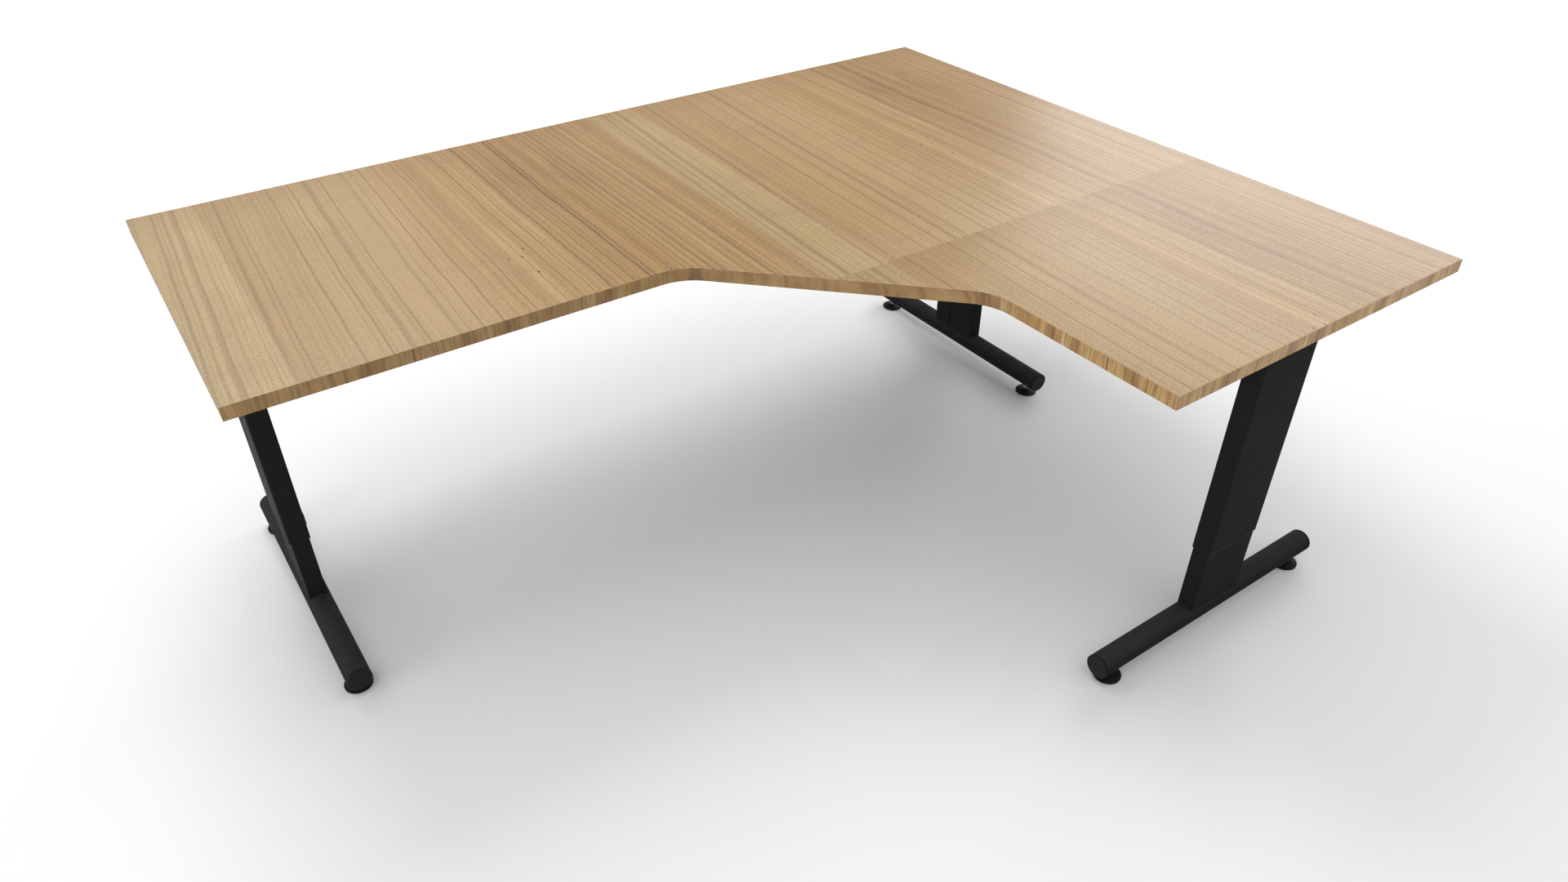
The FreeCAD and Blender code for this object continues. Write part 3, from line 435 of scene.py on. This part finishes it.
def wood_laminate():
    """Matt laminate with printed boards; the grain is pressed in slightly."""
    g = Graph("wood_laminate")
    colour, relief, pores = board_pattern(g)
    g.set("Base Color", colour)
    g.set("Roughness", g.fade(pores, 0.3, 0.7, 0.27, 0.38))
    g.shader.inputs["Specular IOR Level"].default_value = 0.40
    g.bump(relief, depth=0.00012, radius=0.0005)
    return g.material


def upright(g, along, height, along_scale, height_scale, detail=2.0, roughness=0.5):
    """Noise with its own scale along a band and up its face."""
    stretched = g.join(g.times(along, along_scale), 0.0, g.times(height, height_scale))
    return g.noise(stretched, 1.0, detail, roughness)


def band_pattern(g):
    """Colour, growth lines and fibres of the band's outer face, with painted shade towards the back."""
    x, y, z = g.split(g.place())
    along = g.add(x, g.times(y, BAND_TURN))
    wander = g.minus(upright(g, along, z, 9, 16), 0.5)
    along = g.add(along, g.times(wander, BAND_WANDER))
    fibres = upright(g, along, z, 500, 30, 2.0, 0.6)
    lines = g.add(g.times(g.lines(along, 48, 0.0022), 0.5), g.times(g.lines(along, 17, 0.005), 0.4))
    drawn = g.fade(upright(g, along, z, 130, 6, 3.0), 0.50, 0.68)
    lines = g.calc("MINIMUM", g.add(lines, g.times(drawn, 0.6)), 1.0)
    colour = g.ramp(upright(g, along, z, 22, 4, 4.0, 0.65), BAND_TONES)
    colour = g.blend(g.times(lines, 0.85), colour, BAND_LINE_TONE)
    colour = g.blend(g.fade(fibres, 0.5, 0.8, 0.0, 0.45), colour, BAND_FIBRE_TONE)
    # Painted shade: the band gets darker from the front of the right wing towards the back
    painted_shade = g.fade(y, FRONT + PAINTED_SHADE_START, FRONT + PAINTED_SHADE_FULL, 0.0, 0.44)
    return g.blend(painted_shade, colour, BAND_PAINTED_SHADE), lines, fibres


def edge_band():
    """Wood-print band: upright grain on its outer face, the boards' own pattern on its 2 mm upper edge."""
    g = Graph("edge_band")
    colour, lines, fibres = band_pattern(g)
    boards, _, _ = board_pattern(g)
    upper_edge = g.fade(g.split(g.normal())[2], 0.6, 0.9)
    g.set("Base Color", g.blend(upper_edge, colour, boards))
    g.set("Roughness", g.fade(fibres, 0.3, 0.7, 0.38, 0.52))
    g.bump(g.minus(fibres, lines), depth=0.00012, radius=0.0009)
    return g.material


def panel_core():
    """Particle board: pressed chips of mixed tone."""
    g = Graph("panel_core")
    place = g.place()
    tone = g.split(g.cells(place, 420))[0]
    dust_and_sheen = g.noise(place, 1500, 3.0)
    chip_tones = [(0.0, shade(150, 118, 80)), (0.5, shade(190, 158, 116)), (1.0, shade(214, 188, 150))]
    colour = g.ramp(tone, chip_tones)
    g.set("Base Color", g.blend(g.fade(dust_and_sheen, 0.45, 0.7, 0.0, 0.4), colour, shade(120, 90, 58)))
    g.set("Roughness", g.fade(dust_and_sheen, 0.3, 0.7, 0.75, 0.9))
    g.bump(g.add(tone, dust_and_sheen), depth=0.0003, radius=0.0003)
    return g.material


def backing_sheet():
    """Plain grey balancing laminate under the panel, with a faint fibre and handling marks."""
    g = Graph("backing_sheet")
    place = g.place()
    x, y, _ = g.split(place)
    fibres = g.grained(x, y, 260, 12, 3.0, 0.6)
    broad = g.grained(x, y, 7, 1.4, 4.0, 0.6)
    marks = g.noise(place, 26, 5.0, 0.7)
    greys = [(0.3, shade(118, 117, 114)), (0.5, shade(130, 129, 126)), (0.7, shade(138, 137, 134))]
    colour = g.ramp(broad, greys)
    colour = g.blend(g.fade(fibres, 0.48, 0.75, 0.0, 0.4), colour, shade(100, 99, 97))
    g.set("Base Color", g.blend(g.fade(marks, 0.62, 0.8, 0.0, 0.25), colour, shade(160, 159, 156)))
    g.set("Roughness", g.fade(marks, 0.35, 0.7, 0.48, 0.64))
    g.bump(fibres, depth=0.0001, radius=0.0004)
    return g.material


# ---------------------------------------------------------------- steel and plastic


def coated_steel():
    """Charcoal powder coat: fine orange peel, slight cloudiness, rubbed edges and a painted sheen on upper
    faces.
    """
    g = Graph("coated_steel")
    place = g.place()
    peel = g.noise(place, 950, 2.0, 0.55)
    cloud = g.noise(place, 7, 4.0, 0.6)
    scuffs = g.noise(place, 55, 4.0, 0.7)
    colour = g.ramp(cloud, [(0.3, shade(32, 32, 32)), (0.7, shade(36, 36, 36))])
    colour = g.blend(g.fade(peel, 0.42, 0.72, 0.0, 0.32), colour, shade(43, 43, 44))
    # Painted sheen: faces that look upward are lightened towards a paler grey, in mottled patches
    upward = g.split(g.normal())[2]
    dust_and_sheen = g.times(g.fade(upward, 0.1, 0.95), g.fade(scuffs, 0.25, 0.70, 0.28, 0.42))
    colour = g.blend(dust_and_sheen, colour, shade(72, 71, 70))
    wear = g.times(g.edge_wear(0.0016), g.fade(scuffs, 0.36, 0.66, 0.10, 0.60))
    g.set("Base Color", g.blend(wear, colour, shade(64, 64, 65)))
    g.set("Roughness", g.fade(g.add(g.times(peel, 0.6), g.times(scuffs, 0.4)), 0.3, 0.7, 0.42, 0.60))
    g.shader.inputs["Specular IOR Level"].default_value = 0.012
    g.bump(peel, depth=0.00022, radius=0.0014)
    return g.material


def plastic_dark():
    """Warm black moulded plastic with a spark-eroded texture and scuffed rims."""
    g = Graph("plastic_dark")
    place = g.place()
    grain = g.noise(place, 1300, 2.0, 0.5)
    cloud = g.noise(place, 24, 3.0, 0.6)
    scuffs = g.noise(place, 140, 4.0, 0.7)
    colour = g.ramp(cloud, [(0.3, shade(26, 24, 23)), (0.7, shade(32, 29, 28))])
    wear = g.times(g.edge_wear(0.0010), g.fade(scuffs, 0.35, 0.65, 0.15, 0.45))
    g.set("Base Color", g.blend(wear, colour, shade(56, 53, 51)))
    g.shader.inputs["Specular IOR Level"].default_value = 0.12
    g.set("Roughness", g.fade(g.add(g.times(grain, 0.5), g.times(scuffs, 0.5)), 0.3, 0.7, 0.38, 0.56))
    g.bump(grain, depth=0.00012, radius=0.0008)
    return g.material


def zinc_steel():
    """Zinc plate: bluish bright metal with a fine turned texture and dull patches."""
    g = Graph("zinc_steel")
    place = g.place()
    x, y, z = g.split(place)
    turned = g.noise(g.join(g.times(x, 300), g.times(y, 300), g.times(z, 5000)), 1.0, 2.0)
    patches = g.noise(place, 180, 4.0, 0.6)
    zinc_tones = [(0.3, shade(150, 152, 156)), (0.6, shade(184, 186, 190)), (0.8, shade(168, 164, 152))]
    g.set("Base Color", g.ramp(patches, zinc_tones))
    g.shader.inputs["Metallic"].default_value = 1.0
    g.set("Roughness", g.fade(patches, 0.3, 0.7, 0.26, 0.46))
    g.bump(turned, depth=0.00005, radius=0.0004)
    return g.material


MATERIALS = {
    "wood_laminate": wood_laminate(),
    "edge_band": edge_band(),
    "panel_core": panel_core(),
    "backing_sheet": backing_sheet(),
    "coated_steel": coated_steel(),
    "plastic_dark": plastic_dark(),
    "zinc_steel": zinc_steel(),
}


def finish_nodes():
    """Give every CAD node the finish of its material slot."""
    for part in frame["record"]["subparts"]:
        mesh = frame["nodes"][part["node"]].data
        mesh.materials.clear()
        mesh.materials.append(MATERIALS[part["material_slot"]])


# ---------------------------------------------------------------- levelling studs


GLIDES = [
    ("left", "front"),
    ("left", "back"),
    ("right", "outer"),
    ("right", "inner"),
    ("corner", "back"),
    ("corner", "front"),
]

# Heights are from the foot of the stud
STUD_FACETS = 24
STUD_RADIUS = 0.00498
STUD_TIP_RADIUS = 0.004
STUD_LENGTH = 0.037
STUD_BEVEL = 0.0006
THREAD_PITCH = 0.0015
THREAD_DEPTH = 0.0008
THREAD_TOP = 0.0285
THREAD_STEPS = 8
THREAD_FLAT = 0.125
HEX_FLATS = 0.014
HEX_FOOT = 0.006
HEX_TOP = 0.0105
HEX_BEVEL = 0.0005
HEX_FACE_RADIUS = 0.0071


def plain_radius(radius):
    """The same radius all round."""
    return lambda turn: radius


def hexagon_radius(limit):
    """Radius to the spanner flats, cut back by the chamfer to a limit."""
    def radius(turn):
        offset = abs((turn + math.pi / 6) % (math.pi / 3) - math.pi / 6)
        return min(HEX_FLATS / 2 / math.cos(math.pi / 6 - offset), limit)

    return radius


def thread_radius(height):
    """Radius of a right-handed V thread at one height, with a small flat on its crest and in its root."""
    def radius(turn):
        phase = (height / THREAD_PITCH - turn / (2 * math.pi)) % 1
        slope = (1 + 2 * THREAD_FLAT) * abs(2 * phase - 1) - THREAD_FLAT
        return STUD_RADIUS - THREAD_DEPTH * min(1.0, max(0.0, slope))

    return radius


def stud_rows():
    """Heights up the stud, each with its radius around a turn and whether the band above is smooth."""
    wide = hexagon_radius(HEX_FLATS)
    face = hexagon_radius(HEX_FACE_RADIUS)
    rows = [
        (0.0, plain_radius(STUD_TIP_RADIUS - STUD_BEVEL), False),
        (STUD_BEVEL, plain_radius(STUD_TIP_RADIUS), True),
        (HEX_FOOT, plain_radius(STUD_TIP_RADIUS), False),
        (HEX_FOOT, face, False),
        (HEX_FOOT + HEX_BEVEL, wide, False),
        (HEX_TOP - HEX_BEVEL, wide, False),
        (HEX_TOP, face, False),
    ]
    steps = round((THREAD_TOP - HEX_TOP) / THREAD_PITCH * THREAD_STEPS)
    for step in range(steps + 1):
        height = HEX_TOP + (THREAD_TOP - HEX_TOP) * step / steps
        rows.append((height, thread_radius(height), True))
    rows.append((THREAD_TOP + STUD_BEVEL, plain_radius(STUD_RADIUS), True))
    rows.append((STUD_LENGTH - STUD_BEVEL, plain_radius(STUD_RADIUS), False))
    rows.append((STUD_LENGTH, plain_radius(STUD_RADIUS - STUD_BEVEL), False))
    return rows


def stud_faces(rows):
    """Faces between the rows of points and over both ends, each with its smoothness."""
    faces = [(tuple(reversed(range(STUD_FACETS))), False)]
    for row, (_, _, rounded) in enumerate(rows[:-1]):
        for facet in range(STUD_FACETS):
            here = row * STUD_FACETS + facet
            following = row * STUD_FACETS + (facet + 1) % STUD_FACETS
            corners = (here, following, following + STUD_FACETS, here + STUD_FACETS)
            faces.append((corners, rounded))
    top = (len(rows) - 1) * STUD_FACETS
    faces.append((tuple(range(top, top + STUD_FACETS)), False))
    return faces


def stud_mesh():
    """Levelling stud about its own axis: tip, chamfered spanner flats, threaded shank."""
    rows = stud_rows()
    turns = [2 * math.pi * facet / STUD_FACETS for facet in range(STUD_FACETS)]
    points = [
        (radius(turn) * math.cos(turn), radius(turn) * math.sin(turn), height)
        for height, radius, _ in rows
        for turn in turns
    ]
    faces, smooth = zip(*stud_faces(rows))
    mesh = bpy.data.meshes.new("threaded_stud")
    mesh.from_pydata(points, [], faces)
    mesh.polygons.foreach_set("use_smooth", smooth)
    mesh.materials.append(MATERIALS["zinc_steel"])
    return mesh


def threaded_studs():
    """Threaded levelling studs in place of the plain ones, with their corners the same way."""
    mesh = stud_mesh()
    for leg, end in GLIDES:
        node = f"glide_stud_{leg}_{end}"
        low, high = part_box(node)
        stud = bpy.data.objects.new(f"threaded_stud_{leg}_{end}", mesh)
        stud.location = ((low.x + high.x) / 2, (low.y + high.y) / 2, low.z)
        if high.y - low.y > high.x - low.x:
            stud.rotation_euler.z = math.pi / 2
        bpy.context.scene.collection.objects.link(stud)
        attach(stud, f"glide_{leg}_{end}_stud")
        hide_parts(node)


# ---------------------------------------------------------------- studio


FLOOR_SPAN = 60.0
FLOOR_TONE = (0.88, 0.88, 0.88, 1.0)
WHITE = (1.0, 1.0, 1.0, 1.0)

# The floor glows a little away from the desk: where the glow starts and is full, and its strength
GLOW_START = 1.6
GLOW_FULL = 5.0
GLOW = 0.12

# Dome of light: its levels low and high in the sky, and the height in the sky where each is reached
LOW_SKY = 0.50
HIGH_SKY = 1.08
LOW_SKY_HEIGHT = 0.40
HIGH_SKY_HEIGHT = 0.92

# Name, place, target, width, height, power in watts
LIGHTS = [
    ("gloss_light", (5.4, 2.0, 2.7), (0.3, 0.0, 0.7), 3.6, 2.2, 80),
    ("back_light", (-0.3, 3.6, 5.0), (0.0, 0.0, 0.0), 2.6, 2.6, 125),
    ("side_light", (-5.0, -0.4, 1.3), (0.0, 0.0, 0.5), 2.4, 1.6, 46),
    ("veil_light", (-0.55, 3.90, 2.45), (-0.8, 0.3, 0.7), 1.7, 1.5, 3.5),
]

# Standing viewer to the front left of the desk; the tilt is up from straight down, the turn is to the right
CAMERA_PLACE = (-1.079, -1.590, 1.620)
CAMERA_TILT = 53.869
CAMERA_TURN = 34.842
FOCAL_LENGTH = 25.19
SENSOR_WIDTH = 36


def floor_material():
    """Matt white floor that is lit up evenly away from the desk, like a studio cove."""
    g = Graph("studio_floor")
    x, y, _ = g.split(g.place())
    distance = g.calc("SQRT", g.add(g.times(x, x), g.times(y, y)))
    g.set("Base Color", FLOOR_TONE)
    g.set("Roughness", 0.75)
    g.set("Emission Color", WHITE)
    g.set("Emission Strength", g.fade(distance, GLOW_START, GLOW_FULL, 0.0, GLOW))
    return g.material


def floor():
    """Large flat floor at height 0."""
    mesh = bpy.data.meshes.new("studio_floor")
    half = FLOOR_SPAN / 2
    corners = [(-half, -half, 0), (half, -half, 0), (half, half, 0), (-half, half, 0)]
    mesh.from_pydata(corners, [], [(0, 1, 2, 3)])
    mesh.materials.append(floor_material())
    plane = bpy.data.objects.new("studio_floor", mesh)
    bpy.context.scene.collection.objects.link(plane)


def world_light():
    """White dome of light, brighter overhead than at the horizon."""
    world = bpy.data.worlds.new("studio_light")
    world.use_nodes = True
    tree = world.node_tree
    direction = tree.nodes.new("ShaderNodeTexCoord")
    height = tree.nodes.new("ShaderNodeSeparateXYZ")
    level = tree.nodes.new("ShaderNodeMapRange")
    level.interpolation_type = "SMOOTHSTEP"
    level.inputs["From Min"].default_value = LOW_SKY_HEIGHT
    level.inputs["From Max"].default_value = HIGH_SKY_HEIGHT
    level.inputs["To Min"].default_value = LOW_SKY
    level.inputs["To Max"].default_value = HIGH_SKY
    background = tree.nodes["Background"]
    background.inputs["Color"].default_value = WHITE
    tree.links.new(direction.outputs["Generated"], height.inputs[0])
    tree.links.new(height.outputs["Z"], level.inputs["Value"])
    tree.links.new(level.outputs[0], background.inputs["Strength"])
    bpy.context.scene.world = world


def soft_light(name, place, target, width, height, power):
    """Rectangular light that faces a target point."""
    light = bpy.data.lights.new(name, "AREA")
    light.shape = "RECTANGLE"
    light.size = width
    light.size_y = height
    light.energy = power
    lamp = bpy.data.objects.new(name, light)
    lamp.location = place
    lamp.rotation_euler = (Vector(target) - Vector(place)).to_track_quat("-Z", "Y").to_euler()
    bpy.context.scene.collection.objects.link(lamp)


def camera():
    """Camera at the photo's angle."""
    lens = bpy.data.cameras.new("camera")
    lens.sensor_width = SENSOR_WIDTH
    lens.lens = FOCAL_LENGTH
    eye = bpy.data.objects.new("camera", lens)
    eye.location = CAMERA_PLACE
    eye.rotation_euler = (math.radians(CAMERA_TILT), 0, math.radians(-CAMERA_TURN))
    bpy.context.scene.collection.objects.link(eye)
    bpy.context.scene.camera = eye


def studio():
    """Floor, lights and camera."""
    bpy.context.scene.view_settings.view_transform = "Standard"
    floor()
    world_light()
    for light in LIGHTS:
        soft_light(*light)
    camera()


# ---------------------------------------------------------------- build


finish_nodes()
threaded_studs()
studio()
